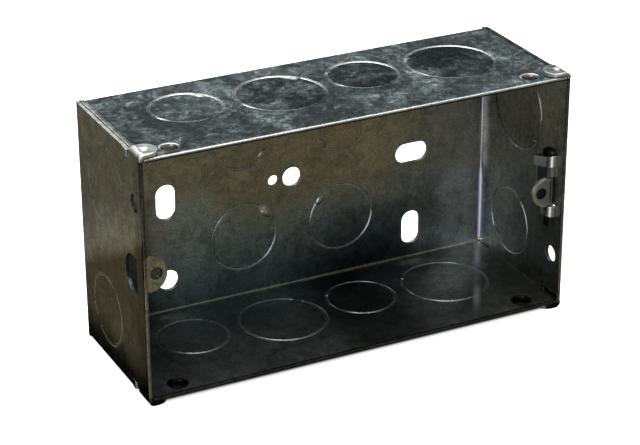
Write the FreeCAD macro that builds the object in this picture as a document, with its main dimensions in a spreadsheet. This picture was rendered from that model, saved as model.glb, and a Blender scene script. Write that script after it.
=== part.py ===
import FreeCAD, Part
import math
import os

import Sketcher

# Two-gang flush back box of folded galvanised sheet, with one captive sliding lug.
# Frame: origin at the centre of the back panel's outer face, +X along the width
# (to the right when facing the open front), +Y out of the back, +Z up.
# The open front is at y = -depth.

doc = FreeCAD.newDocument("flush_back_box")

# ---------------------------------------------------------------- dimensions
sheet = doc.addObject("Spreadsheet::Sheet", "dims")
TABLE = [
    # folded sheet
    ("width", 132.0, "outside width of the box"),
    ("height", 72.0, "outside height of the box"),
    ("depth", 47.0, "back face to front rim"),
    ("gauge", 1.0, "sheet thickness"),
    ("bend_in", 0.6, "inside radius of the folds"),
    ("seam_gap", 0.35, "gap between a long plate and an end wall"),
    ("corner_relief", 0.3, "slit between two folds at a back corner"),
    ("rim_out", 0.40, "rolled outer edge of the front rim"),
    ("rim_in", 0.18, "rolled inner edge of the front rim"),
    ("ear_tall", 0.55, "height of the burr at a fold's end"),
    ("ear_long", 1.5, "length of that burr"),
    ("ear_wide", 0.8, "width of that burr"),
    # front corner tabs
    ("tab_wide", 7.4, "tab width along the depth"),
    ("tab_reach", 6.4, "end wall outer face to tab tip"),
    ("tab_lift", 0.35, "gap between a tab and the plate below it"),
    ("tab_bend_in", 0.7, "inside radius of the tab bend"),
    ("slit_wide", 1.2, "slit behind a tab, along the depth"),
    ("slit_deep", 2.0, "slit behind a tab, from the wall's edge"),
    ("stake_ball", 2.2, "radius of the ball that stakes a tab"),
    ("stake_deep", 0.62, "depth of the staked dimple"),
    ("stake_boss", 1.35, "radius of the dimple where it meets the plate"),
    ("burr_out", 0.35, "bulge of the wall's edge behind a slit"),
    ("burr_long", 5.0, "length of that bulge"),
    ("burr_tall", 2.2, "height of that bulge"),
    # knockouts
    ("ko_small", 20.6, "ring diameter of a 20 mm knockout"),
    ("ko_large", 25.8, "ring diameter of a 25 mm knockout"),
    ("ring_tool", 0.42, "section radius of the sheared ring"),
    ("ring_lift", 0.10, "height of that section's centre above the sheet"),
    ("nib_gap", 3.0, "uncut length of a ring, at the nib"),
    ("nib_long", 1.9, "half length of a nib"),
    ("nib_wide", 1.1, "half width of a nib"),
    ("nib_tall", 0.70, "half thickness of a nib"),
    # long plates, from the middle and from the front rim
    ("plate_small_x1", -40.6, "20 mm knockout, first"),
    ("plate_large_x1", -13.0, "25 mm knockout, first"),
    ("plate_small_x2", 13.9, "20 mm knockout, second"),
    ("plate_large_x2", 41.2, "25 mm knockout, second"),
    ("plate_small_in", 28.2, "20 mm knockouts from the front rim"),
    ("plate_large_in", 25.9, "25 mm knockouts from the front rim"),
    ("plate_hole_x", 55.4, "fixing holes from the middle"),
    ("plate_hole_in", 4.9, "fixing holes from the front rim"),
    ("plate_hole_d", 5.0, "fixing hole diameter"),
    # back panel
    ("back_ko_x", 16.05, "20 mm knockouts from the middle, across"),
    ("back_ko_z", 16.1, "20 mm knockouts from the middle, up"),
    ("slot_x", 40.3, "slots from the middle, across"),
    ("slot_low", 25.0, "lower fixings below the middle"),
    ("slot_wide", 6.3, "slot width"),
    ("slot_long", 11.0, "slot length"),
    ("round_d", 6.4, "round fixing hole"),
    ("centre_d", 6.1, "centre hole"),
    ("pilot_d", 3.3, "small hole beside the centre hole"),
    ("pilot_x", 6.1, "small hole from the middle"),
    # end walls
    ("end_large_in", 25.7, "25 mm knockout from the front rim"),
    ("end_large_z", 18.0, "25 mm knockout above the middle"),
    ("end_small_in", 28.4, "20 mm knockout from the front rim"),
    ("end_small_z", 20.4, "20 mm knockout below the middle"),
    ("end_hole_d", 5.2, "side fixing hole"),
    ("end_hole_in", 5.0, "side fixing hole from the front rim"),
    ("end_hole_z", 21.8, "side fixing hole from the middle"),
    # lugs
    ("lug_x", 60.3, "lug thread from the middle"),
    ("lug_thread_d", 2.9, "bore of the lug thread"),
    ("fix_in", 5.0, "fixed lug's front face from the front rim"),
    ("fix_r", 5.45, "rounded end of the fixed lug"),
    ("fix_reach", 57.2, "fixed lug's tip from the middle"),
    ("fix_fold", 5.0, "half width of the fixed lug's fold"),
    ("fix_bend", 0.4, "inside radius of the fixed lug's fold"),
    ("fix_cut_r", 5.6, "rounded end of the opening it leaves"),
    ("fix_cut_in", 13.4, "far end of that opening from the front rim"),
    # retaining loops on the right end wall
    ("loop_t", 0.9, "sheet of a loop"),
    ("loop_in", 1.6, "inside corner radius of a loop"),
    ("loop_rise", 0.2, "loop corner centre inside the wall's inner face"),
    ("up_front", 5.5, "upper loop, front corner centre from the front rim"),
    ("up_rear", 11.6, "upper loop, rear corner centre from the front rim"),
    ("up_ref", 4.0, "distance from the front rim at which the upper loop's edges are given"),
    ("up_low", 6.8, "upper loop's lower edge there"),
    ("up_tall", 3.4, "upper loop's height there"),
    ("up_low_fall", 0.25, "fall of that lower edge for each millimetre to the rear"),
    ("up_high_fall", 0.305, "fall of the upper edge for each millimetre to the rear"),
    ("up_window_high", 9.5, "window behind the upper loop, upper edge at the same distance"),
    ("up_window_rear", 11.6, "rear end of that window from the front rim"),
    ("dn_mid", 5.9, "lower loop's centre from the front rim"),
    ("dn_half", 0.5, "half the flat of the lower loop's crest"),
    ("dn_low", -8.9, "lower loop's lower edge"),
    ("dn_tall", 3.2, "lower loop's height"),
    ("window_slack", 0.1, "slit above and below a loop"),
    # adjustable lug
    ("adj_t", 1.2, "sheet of the adjustable lug"),
    ("adj_gap", 0.1, "running gap to the wall"),
    ("adj_bend", 0.4, "inside radius of its fold"),
    ("adj_in", 4.0, "its front face from the front rim"),
    ("adj_z", -1.0, "height of its thread as it stands"),
    ("adj_r", 4.5, "rounded end of its tab"),
    ("adj_end_x", 62.1, "centre of that rounded end"),
    ("adj_fold", 4.0, "half width of its fold"),
    ("adj_front", 4.6, "upper wing's front edge from the front rim"),
    ("adj_rear", 12.5, "plate's rear edge from the front rim"),
    ("adj_shoulder", 5.0, "top of the plate's broad part"),
    ("adj_tongue", 9.3, "upper wing's rear edge from the front rim"),
    ("adj_top", 11.2, "upper wing's end"),
    ("adj_corner", 0.8, "corner radius of the plate and of the upper wing"),
    ("adj_relief", 0.2, "relief beside the fold"),
    ("wing_half", 1.4, "half width of the lower wing"),
    ("wing_end", -12.8, "lower wing's end"),
]
VALUES = {}
for row, (alias, value, note) in enumerate(TABLE, start=1):
    sheet.set("A%d" % row, alias)
    sheet.set("B%d" % row, repr(value))
    sheet.setAlias("B%d" % row, alias)
    sheet.set("C%d" % row, note)
    VALUES[alias] = value
doc.recompute()


class Dim:
    """A length with its number and the sheet expression it comes from."""

    def __init__(self, v, s):
        self.v, self.s = v, s

    @staticmethod
    def of(other):
        return other if isinstance(other, Dim) else Dim(float(other), repr(float(other)))

    def __add__(self, o):
        o = Dim.of(o)
        return Dim(self.v + o.v, "(%s + %s)" % (self.s, o.s))

    def __radd__(self, o):
        return Dim.of(o) + self

    def __sub__(self, o):
        o = Dim.of(o)
        return Dim(self.v - o.v, "(%s - %s)" % (self.s, o.s))

    def __rsub__(self, o):
        return Dim.of(o) - self

    def __mul__(self, o):
        o = Dim.of(o)
        return Dim(self.v * o.v, "(%s * %s)" % (self.s, o.s))

    def __rmul__(self, o):
        return Dim.of(o) * self

    def __truediv__(self, o):
        o = Dim.of(o)
        return Dim(self.v / o.v, "(%s / %s)" % (self.s, o.s))

    def __neg__(self):
        return Dim(-self.v, "(0 - %s)" % self.s)


def d(alias):
    return Dim(VALUES[alias], "dims.%s" % alias)


# ------------------------------------------------------------ sketch helpers
def origin_plane(body, role):
    return [o for o in body.Origin.OriginFeatures if o.Role == role][0]


class Outline:
    """A sketch on one of a body's origin planes, drawn from sheet lengths."""

    def __init__(self, body, name, role, along_normal=None):
        self.sk = body.newObject("Sketcher::SketchObject", name)
        self.sk.AttachmentSupport = (origin_plane(body, role), [""])
        self.sk.MapMode = "FlatFace"
        if along_normal is not None:
            self.sk.setExpression("AttachmentOffset.Base.z", along_normal.s)
        self.geometry, self.rules, self.bound = [], [], []

    def _rule(self, bound, *args):
        self.rules.append(Sketcher.Constraint(*args))
        self.bound.append(bound)

    def _pin(self, geo, pos, x, y):
        for kind, axis, value in (("DistanceX", -2, x), ("DistanceY", -1, y)):
            value = Dim.of(value)
            if abs(value.v) < 1e-9:
                self._rule(None, "PointOnObject", geo, pos, axis)
            else:
                self._rule(value.s, kind, -1, 1, geo, pos, value.v)

    def circle(self, x, y, radius):
        x, y, radius = Dim.of(x), Dim.of(y), Dim.of(radius)
        geo = len(self.geometry)
        self.geometry.append(
            Part.Circle(FreeCAD.Vector(x.v, y.v, 0), FreeCAD.Vector(0, 0, 1), radius.v)
        )
        self._pin(geo, 3, x, y)
        self._rule(radius.s, "Radius", geo, radius.v)

    def loop(self, steps):
        """steps: corners (x, y) in order; an arc to the next corner is (x, y, radius, turn),
        turn +1 for anticlockwise and -1 for clockwise."""
        first = len(self.geometry)
        count = len(steps)
        ends = []
        for i, step in enumerate(steps):
            nxt = steps[(i + 1) % count]
            a = FreeCAD.Vector(Dim.of(step[0]).v, Dim.of(step[1]).v, 0)
            b = FreeCAD.Vector(Dim.of(nxt[0]).v, Dim.of(nxt[1]).v, 0)
            geo = first + i
            if len(step) == 2:
                self.geometry.append(Part.LineSegment(a, b))
                ends.append((1, 2))
                continue
            radius, turn = Dim.of(step[2]), step[3]
            half = (b - a) * 0.5
            rise = math.sqrt(max(radius.v**2 - half.Length**2, 0.0))
            side = FreeCAD.Vector(-half.y, half.x, 0)
            side.normalize()
            centre = a + half + side * (rise * turn)
            start, end = (a, b) if turn > 0 else (b, a)
            a0 = math.atan2(start.y - centre.y, start.x - centre.x)
            a1 = math.atan2(end.y - centre.y, end.x - centre.x)
            while a1 <= a0:
                a1 += 2 * math.pi
            self.geometry.append(
                Part.ArcOfCircle(
                    Part.Circle(centre, FreeCAD.Vector(0, 0, 1), radius.v), a0, a1
                )
            )
            ends.append((1, 2) if turn > 0 else (2, 1))
            half_turn = abs(rise) < 1e-7
            if not half_turn:
                self._rule(radius.s, "Radius", geo, radius.v)
            else:
                # a half circle: its centre lies midway, so pin the centre's height only
                self._pin_centre(geo, centre, steps[i], nxt)
        for i in range(count):
            geo, nxt = first + i, first + (i + 1) % count
            self._rule(None, "Coincident", geo, ends[i][1], nxt, ends[(i + 1) % count][0])
        for i, step in enumerate(steps):
            self._pin(first + i, ends[i][0], step[0], step[1])

    def _pin_centre(self, geo, centre, a, b):
        ax, bx = Dim.of(a[0]), Dim.of(b[0])
        ay, by = Dim.of(a[1]), Dim.of(b[1])
        if abs(ax.v - bx.v) < abs(ay.v - by.v):
            mid = (ax + bx) / 2
            if abs(mid.v) < 1e-9:
                self._rule(None, "PointOnObject", geo, 3, -2)
            else:
                self._rule(mid.s, "DistanceX", -1, 1, geo, 3, mid.v)
        else:
            mid = (ay + by) / 2
            if abs(mid.v) < 1e-9:
                self._rule(None, "PointOnObject", geo, 3, -1)
            else:
                self._rule(mid.s, "DistanceY", -1, 1, geo, 3, mid.v)

    def box(self, x0, y0, x1, y1):
        self.loop([(x0, y0), (x1, y0), (x1, y1), (x0, y1)])

    def slot(self, x, y, across, up):
        """A round-ended slot, across wide and up tall."""
        x, y, across, up = Dim.of(x), Dim.of(y), Dim.of(across), Dim.of(up)
        if up.v > across.v:
            r = across / 2
            top, low = y + up / 2 - r, y - up / 2 + r
            self.loop(
                [(x + r, low), (x + r, top, r, 1), (x - r, top), (x - r, low, r, 1)]
            )
        else:
            r = up / 2
            right, left = x + across / 2 - r, x - across / 2 + r
            self.loop(
                [(left, y - r), (right, y - r, r, 1), (right, y + r), (left, y + r, r, 1)]
            )

    def done(self):
        self.sk.addGeometry(self.geometry, False)
        self.sk.addConstraint(self.rules)
        for i, expression in enumerate(self.bound):
            if expression is not None:
                self.sk.setExpression("Constraints[%d]" % i, expression)
        return self.sk


def grow(body, name, outline, length, symmetric=False):
    pad = body.newObject("PartDesign::Pad", name)
    pad.Profile = outline.done()
    pad.SideType = "Symmetric" if symmetric else "One side"
    pad.setExpression("Length", length.s)
    doc.recompute()
    return pad


def cut(body, name, outline, length):
    before = body.Shape.Volume
    pocket = body.newObject("PartDesign::Pocket", name)
    pocket.Profile = outline.done()
    pocket.Type = "Length"
    pocket.setExpression("Length", length.s)
    doc.recompute()
    if body.Shape.Volume > before - 1e-3:
        raise RuntimeError("%s removed nothing" % name)
    return pocket


# ------------------------------------------------------------- derived sizes
W2, H2, D, T = d("width") / 2, d("height") / 2, d("depth"), d("gauge")
RO, RI = d("bend_in") + T, d("bend_in")
PLATE = W2 - T - d("seam_gap")
TAB_LOW = H2 + d("tab_lift")
TAB_TOP = TAB_LOW + T
TAB_RI, TAB_RO = d("tab_bend_in"), d("tab_bend_in") + T
TAB_CZ = TAB_TOP - TAB_RO
TAB_REAR = d("tab_wide") - D
TAB_HALF = d("tab_wide") / 2
TAB_MID = TAB_HALF - D
TAB_CX = W2 - d("tab_reach") + TAB_HALF
QO, QI = d("rim_out"), d("rim_in")


def front(length):
    """A distance from the front rim as a place along Y."""
    return length - D


# ------------------------------------------------------------- folded shell
shell = doc.addObject("PartDesign::Body", "shell_blank")

# long plates and back panel, one channel open to the front
o = Outline(shell, "channel_section", "YZ_Plane")
o.loop(
    [
        (QO - D, H2, QO, 1),
        (-D, H2 - QO),
        (-D, H2 - T + QI, QI, 1),
        (QI - D, H2 - T),
        (-RO, H2 - T, RI, -1),
        (-T, H2 - RO),
        (-T, RO - H2, RI, -1),
        (-RO, T - H2),
        (QI - D, T - H2, QI, 1),
        (-D, T - H2 - QI),
        (-D, QO - H2, QO, 1),
        (QO - D, -H2),
        (-RO, -H2, RO, 1),
        (Dim.of(0), RO - H2),
        (Dim.of(0), H2 - RO, RO, 1),
        (-RO, H2),
    ]
)
grow(shell, "channel", o, 2 * PLATE, symmetric=True)

# the channel stops short of the end folds, with a fine slit at each back corner
o = Outline(shell, "fold_clearance", "XZ_Plane", RO)
CORNER = W2 - RO - d("corner_relief")
for sx in (-1, 1):
    o.loop(
        [
            (sx * CORNER, -H2 - 1),
            (sx * (W2 + 1), -H2 - 1),
            (sx * (W2 + 1), H2 + 1),
            (sx * CORNER, H2 + 1),
            (sx * CORNER, H2 - RO),
            (sx * (W2 - RO), H2 - RO),
            (sx * (W2 - RO), RO - H2),
            (sx * CORNER, RO - H2),
        ]
    )
cut(shell, "fold_trim", o, RO + 0.5)

# end walls with their folds into the back panel
o = Outline(shell, "end_wall_section", "XY_Plane")
o.loop(
    [
        (-W2, QO - D, QO, 1),
        (QO - W2, -D),
        (T - W2 - QI, -D, QI, 1),
        (T - W2, QI - D),
        (T - W2, -RO, RI, -1),
        (RO - W2, -T),
        (RO - W2, Dim.of(0), RO, 1),
        (-W2, -RO),
    ]
)
o.loop(
    [
        (W2, QO - D),
        (W2, -RO, RO, 1),
        (W2 - RO, Dim.of(0)),
        (W2 - RO, -T, RI, -1),
        (W2 - T, -RO),
        (W2 - T, QI - D, QI, 1),
        (W2 - T + QI, -D),
        (W2 - QO, -D, QO, 1),
    ]
)
grow(shell, "end_walls", o, d("height"), symmetric=True)

# burrs where the folds end, at three of the back corners; the upper right one is clean
for sz in (-1, 1):
    word = "top" if sz > 0 else "bottom"
    place = (H2 - 0.4) if sz > 0 else (-H2 - d("ear_tall"))
    o = Outline(shell, "ear_plan_%s" % word, "XY_Plane", place)
    for sx in (-1,) if sz > 0 else (-1, 1):
        far = -RO + 0.25
        o.loop(
            [
                (sx * W2, far),
                (sx * W2, far - d("ear_long")),
                (sx * (W2 - T * 0.7), far - d("ear_long") * 0.6),
                (sx * (W2 - T * 0.7), far),
            ]
        )
        near = PLATE - 0.02
        o.loop(
            [
                (sx * near, -RO + 0.3),
                (sx * near, -RO - 0.8),
                (sx * (near - d("ear_wide")), -RO - 0.2),
                (sx * (near - d("ear_wide")), -RO + 0.3),
            ]
        )
    grow(shell, "ears_%s" % word, o, d("ear_tall") + 0.4)

# the end walls are cut down under the tabs and slit behind them
for side in (-1, 1):
    place = (W2 + 1) if side > 0 else (T - W2 + 0.2)
    o = Outline(shell, "tab_root_%s" % ("right" if side > 0 else "left"), "YZ_Plane", place)
    slit = TAB_REAR + d("slit_wide")
    for sz in (-1, 1):
        o.loop(
            [
                (-D - 1, sz * TAB_CZ),
                (TAB_REAR, sz * TAB_CZ),
                (TAB_REAR, sz * (H2 - d("slit_deep"))),
                (slit, sz * (H2 - d("slit_deep"))),
                (slit, sz * (H2 + 1)),
                (-D - 1, sz * (H2 + 1)),
            ]
        )
    cut(shell, "tab_slit_%s" % ("right" if side > 0 else "left"), o, T + 1.2)

# tab bends, turned over the long plates
o = Outline(shell, "tab_bend_section", "XZ_Plane", -TAB_REAR)
for sx in (-1, 1):
    for sz in (-1, 1):
        turn = sx * sz
        outer, inner = sx * W2, sx * (W2 - T)
        flat = sx * (W2 - TAB_RO)
        o.loop(
            [
                (outer, sz * TAB_CZ, TAB_RO, turn),
                (flat, sz * TAB_TOP),
                (flat, sz * TAB_LOW, TAB_RI, -turn),
                (inner, sz * TAB_CZ),
            ]
        )
grow(shell, "tab_bends", o, d("tab_wide"))

# tab ends, rounded in plan
for sz in (-1, 1):
    word = "top" if sz > 0 else "bottom"
    place = TAB_LOW if sz > 0 else -TAB_TOP
    o = Outline(shell, "tab_plan_%s" % word, "XY_Plane", place)
    for sx in (-1, 1):
        root, tip = sx * (W2 - TAB_RO), sx * TAB_CX
        o.loop(
            [
                (root, -D),
                (tip, -D, TAB_HALF, -sx),
                (tip, TAB_REAR),
                (root, TAB_REAR),
            ]
        )
    grow(shell, "tab_ends_%s" % word, o, T)
    # the staked dimple reaches down to the plate
    place = (H2 - 0.3) if sz > 0 else (-TAB_LOW - 0.3)
    o = Outline(shell, "stake_plan_%s" % word, "XY_Plane", place)
    for sx in (-1, 1):
        o.circle(sx * TAB_CX, TAB_MID, d("stake_boss"))
    grow(shell, "stakes_%s" % word, o, d("tab_lift") + 0.6)

# slight outward bulge of the wall's edge behind each slit
for sz in (-1, 1):
    word = "top" if sz > 0 else "bottom"
    place = (H2 - d("burr_tall")) if sz > 0 else -H2
    o = Outline(shell, "burr_plan_%s" % word, "XY_Plane", place)
    near = TAB_REAR + d("slit_wide")
    for sx in (-1, 1):
        o.loop(
            [
                (sx * (W2 - 0.3), near),
                (sx * (W2 + d("burr_out")), near + 0.3),
                (sx * (W2 + d("burr_out") * 0.7), near + d("burr_long") * 0.4),
                (sx * (W2 - 0.3), near + d("burr_long")),
            ]
        )
    grow(shell, "burrs_%s" % word, o, d("burr_tall"))

# round fixing holes in the long plates
for sz in (-1, 1):
    word = "top" if sz > 0 else "bottom"
    place = (H2 + 0.5) if sz > 0 else (T - H2 + 0.5)
    o = Outline(shell, "plate_holes_%s" % word, "XY_Plane", place)
    for sx in (-1, 1):
        o.circle(sx * d("plate_hole_x"), front(d("plate_hole_in")), d("plate_hole_d") / 2)
    cut(shell, "plate_fixings_%s" % word, o, T + 1.0)

# fixings in the back panel
o = Outline(shell, "back_fixing_plan", "XZ_Plane", T + 0.5)
o.slot(-d("slot_x"), Dim.of(0), d("slot_wide"), d("slot_long"))
o.slot(d("slot_x"), Dim.of(0), d("slot_long"), d("slot_wide"))
o.slot(d("slot_x"), -d("slot_low"), d("slot_wide"), d("slot_long"))
o.circle(-d("slot_x"), -d("slot_low"), d("round_d") / 2)
o.circle(Dim.of(0), Dim.of(0), d("centre_d") / 2)
o.circle(-d("pilot_x"), Dim.of(0), d("pilot_d") / 2)
cut(shell, "back_fixings", o, T + 1.0)

# side fixing hole and the opening that the fixed lug leaves, left end wall
FIX_Y = front(d("fix_in"))
o = Outline(shell, "left_wall_plan", "YZ_Plane", T - W2 + 0.5)
o.circle(front(d("end_hole_in")), d("end_hole_z"), d("end_hole_d") / 2)
root = FIX_Y - d("fix_bend")
bow = front(d("fix_cut_in")) - d("fix_cut_r")
o.loop(
    [
        (root, -d("fix_cut_r")),
        (bow, -d("fix_cut_r"), d("fix_cut_r"), 1),
        (bow, d("fix_cut_r")),
        (root, d("fix_cut_r")),
    ]
)
cut(shell, "left_wall_openings", o, T + 1.0)

# fixed lug: its fold, its rounded plate and its thread bore
o = Outline(shell, "fixed_lug_fold_section", "XY_Plane")
FCX, FCY = T + d("fix_bend") - W2, FIX_Y - d("fix_bend")
o.loop(
    [
        (-W2, FCY),
        (T - W2, FCY, d("fix_bend"), -1),
        (FCX, FIX_Y),
        (FCX, FIX_Y + T, T + d("fix_bend"), 1),
    ]
)
grow(shell, "fixed_lug_fold", o, 2 * d("fix_fold"), symmetric=True)
o = Outline(shell, "fixed_lug_plan", "XZ_Plane", -(FIX_Y + T))
end = -d("fix_r") - d("fix_reach")
o.loop(
    [
        (FCX, -d("fix_fold")),
        (end, -d("fix_fold")),
        (end, -d("fix_r"), d("fix_r"), 1),
        (end, d("fix_r")),
        (end, d("fix_fold")),
        (FCX, d("fix_fold")),
    ]
)
grow(shell, "fixed_lug_plate", o, T)
o = Outline(shell, "fixed_lug_bore_plan", "XZ_Plane", -(FIX_Y - 0.5))
o.circle(-d("lug_x"), Dim.of(0), d("lug_thread_d") / 2)
cut(shell, "fixed_lug_bore", o, T + 1.0)

# side fixing hole and the two windows behind the loops, right end wall
UF, UR, DM = front(d("up_front")), front(d("up_rear")), front(d("dn_mid"))
LI, LO = d("loop_in"), d("loop_in") + d("loop_t")
o = Outline(shell, "right_wall_plan", "YZ_Plane", W2 + 0.5)
o.circle(front(d("end_hole_in")), -d("end_hole_z"), d("end_hole_d") / 2)
DN_LOW, DN_HIGH = d("dn_low"), d("dn_low") + d("dn_tall")
UP_AT = front(d("up_ref"))


def up_low(y):
    """Height of the upper loop's lower edge; it falls towards the rear."""
    return d("up_low") - d("up_low_fall") * (y - UP_AT)


def up_high(y, at_ref=None):
    at_ref = d("up_low") + d("up_tall") if at_ref is None else at_ref
    return at_ref - d("up_high_fall") * (y - UP_AT)


WIN0, WIN1 = UF - LI, front(d("up_window_rear"))
o.loop(
    [
        (WIN0, up_low(WIN0) - d("window_slack")),
        (WIN1, up_low(WIN1) - d("window_slack")),
        (WIN1, up_high(WIN1, d("up_window_high"))),
        (WIN0, up_high(WIN0, d("up_window_high"))),
    ]
)
DF, DR = DM - d("dn_half"), DM + d("dn_half")
o.box(DF - LI, DN_LOW - d("window_slack"), DR + LI, DN_HIGH + d("window_slack"))
cut(shell, "right_wall_openings", o, T + 1.0)

# the loops, pressed in from the wall; the upper one slants, so it is grown taller and trimmed
LX, WALL = W2 - T - d("loop_rise"), W2 - T / 2
UP0, UP1 = UF - LO - 0.5, UR + LO + 0.5
UP_FOOT = up_low(UP1) - 0.3
for word, a, b, low, tall in (
    ("upper", UF, UR, UP_FOOT, up_high(UP0) + 0.3 - UP_FOOT),
    ("lower", DF, DR, DN_LOW, d("dn_tall")),
):
    o = Outline(shell, "%s_loop_section" % word, "XY_Plane", low)
    o.loop(
        [
            (WALL, a - LO),
            (WALL, a - LI),
            (LX, a - LI, LI, -1),
            (LX - LI, a),
            (LX - LI, b, LI, -1),
            (LX, b + LI),
            (WALL, b + LI),
            (WALL, b + LO),
            (LX, b + LO, LO, 1),
            (LX - LO, b),
            (LX - LO, a, LO, 1),
            (LX, a - LO),
        ]
    )
    grow(shell, "%s_loop" % word, o, tall)
o = Outline(shell, "upper_loop_trim_plan", "YZ_Plane", W2 - T)
FLOOR_Z, CEIL_Z = UP_FOOT - 0.5, up_high(UP0) + 0.8
o.loop([(UP0, FLOOR_Z), (UP1, FLOOR_Z), (UP1, up_low(UP1)), (UP0, up_low(UP0))])
o.loop([(UP0, up_high(UP0)), (UP1, up_high(UP1)), (UP1, CEIL_Z), (UP0, CEIL_Z)])
cut(shell, "upper_loop_trim", o, LO + d("loop_rise") + 1.0)

# -------------------------------------------------------------- knockouts
# Each wall has an in-plane pair of directions; a knockout is a sheared ring on both
# faces of the sheet, left uncut at its nib.
X, Y, Z = FreeCAD.Vector(1, 0, 0), FreeCAD.Vector(0, 1, 0), FreeCAD.Vector(0, 0, 1)
WALLS = {
    # name: (first direction, second direction, normal's axis, outer face, inner face)
    "top": (X, Y, "z", H2, H2 - T),
    "bottom": (X, Y, "z", -H2, T - H2),
    "back": (X, Z, "y", Dim.of(0), -T),
    "left": (Y, Z, "x", -W2, T - W2),
    "right": (Y, Z, "x", W2, W2 - T),
}
KNOCKOUTS = []
for wall in ("top", "bottom"):
    KNOCKOUTS += [
        (wall, "small", d("plate_small_x1"), front(d("plate_small_in")), 45),
        (wall, "large", d("plate_large_x1"), front(d("plate_large_in")), 45),
        (wall, "small", d("plate_small_x2"), front(d("plate_small_in")), 137),
        (wall, "large", d("plate_large_x2"), front(d("plate_large_in")), 137),
    ]
KNOCKOUTS += [
    ("back", "small", -d("back_ko_x"), -d("back_ko_z"), 40),
    ("back", "small", d("back_ko_x"), -d("back_ko_z"), 135),
    ("back", "small", -d("back_ko_x"), d("back_ko_z"), 315),
    ("back", "small", d("back_ko_x"), d("back_ko_z"), 228),
    ("left", "large", front(d("end_large_in")), d("end_large_z"), 225),
    ("left", "small", front(d("end_small_in")), -d("end_small_z"), 320),
    ("right", "large", front(d("end_large_in")), d("end_large_z"), 225),
    ("right", "small", front(d("end_small_in")), -d("end_small_z"), 320),
]


def frame_of(wall, turn_deg):
    u, v = WALLS[wall][0], WALLS[wall][1]
    n = u.cross(v)
    m = FreeCAD.Matrix(u.x, v.x, n.x, 0, u.y, v.y, n.y, 0, u.z, v.z, n.z, 0, 0, 0, 0, 1)
    return FreeCAD.Placement(m).Rotation.multiply(FreeCAD.Rotation(Z, turn_deg))


def put(obj, wall, u, v, normal_at, turn_deg):
    obj.Placement = FreeCAD.Placement(FreeCAD.Vector(0, 0, 0), frame_of(wall, turn_deg))
    names = {"z": ("x", "y", "z"), "y": ("x", "z", "y"), "x": ("y", "z", "x")}
    for axis, value in zip(names[WALLS[wall][2]], (u, v, normal_at)):
        obj.setExpression("Placement.Base.%s" % axis, Dim.of(value).s)


rings, nibs = [], []
for i, (wall, size, u, v, nib_deg) in enumerate(KNOCKOUTS, start=1):
    r = d("ko_small") / 2 if size == "small" else d("ko_large") / 2
    outer, inner = WALLS[wall][3], WALLS[wall][4]
    out = 1 if outer.v > inner.v else -1
    gap_deg = math.degrees(VALUES["nib_gap"] / r.v)
    for face, place in (
        ("out", outer + out * d("ring_lift")),
        ("in", inner - out * d("ring_lift")),
    ):
        ring = doc.addObject("Part::Torus", "ring_%d_%s" % (i, face))
        ring.setExpression("Radius1", r.s)
        ring.setExpression("Radius2", "dims.ring_tool")
        ring.setExpression(
            "Angle3", "360 - dims.nib_gap / %s * 180 / %r" % (r.s, math.pi)
        )
        put(ring, wall, u, v, place, nib_deg + gap_deg / 2)
        rings.append(ring)
    nib = doc.addObject("Part::Ellipsoid", "nib_%d" % i)
    nib.setExpression("Radius1", "dims.nib_tall")
    nib.setExpression("Radius2", "dims.nib_wide")
    nib.setExpression("Radius3", "dims.nib_long")
    nib.Angle1, nib.Angle2, nib.Angle3 = -90, 90, 360
    c, s = math.cos(math.radians(nib_deg)), math.sin(math.radians(nib_deg))
    back_off = r - 0.8
    # on the back panel the nibs stand proud on the inside only, so that it fits flat
    middle = (outer + inner) / 2 - (d("nib_tall") - T / 2 + 0.06 if wall == "back" else 0)
    put(nib, wall, u + back_off * c, v + back_off * s, middle, nib_deg)
    nibs.append(nib)

# the ball that stakes each tab
balls = []
for sx in (-1, 1):
    for sz in (-1, 1):
        ball = doc.addObject(
            "Part::Sphere",
            "stake_%s_%s" % ("left" if sx < 0 else "right", "top" if sz > 0 else "low"),
        )
        ball.setExpression("Radius", "dims.stake_ball")
        ball.setExpression("Placement.Base.x", (sx * TAB_CX).s)
        ball.setExpression("Placement.Base.y", TAB_MID.s)
        ball.setExpression(
            "Placement.Base.z", (sz * (TAB_TOP + d("stake_ball") - d("stake_deep"))).s
        )
        balls.append(ball)
doc.recompute()

tools = doc.addObject("Part::Compound", "shear_rings_and_stakes")
tools.Links = rings + balls
sheared = doc.addObject("Part::Cut", "shell_sheared")
sheared.Base, sheared.Tool = shell, tools
doc.recompute()
if sheared.Shape.Volume > shell.Shape.Volume - 1:
    raise RuntimeError("the knockout rings removed nothing")
box_shell = doc.addObject("Part::MultiFuse", "box_shell")
box_shell.Shapes = [sheared] + nibs
box_shell.Refine = False
box_shell.Label = "box_shell"
doc.recompute()

# ---------------------------------------------------------- adjustable lug
lug = doc.addObject("PartDesign::Body", "adjustable_lug")
lug.Label = "adjustable_lug"
AX1 = W2 - T - d("adj_gap")
AX0 = AX1 - d("adj_t")
AY0 = front(d("adj_in"))
AY1 = AY0 + d("adj_t")
AB = d("adj_bend")
AZ, AF = d("adj_z"), d("adj_fold")
BEND_Y, BEND_X = AY1 + AB, AX0 - AB
FRONT, REAR = front(d("adj_front")), front(d("adj_rear"))
WING0, WING1 = DM - d("wing_half"), DM + d("wing_half")
TONGUE = front(d("adj_tongue"))
RELIEF = d("adj_relief")
CORNER_R = d("adj_corner")

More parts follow.
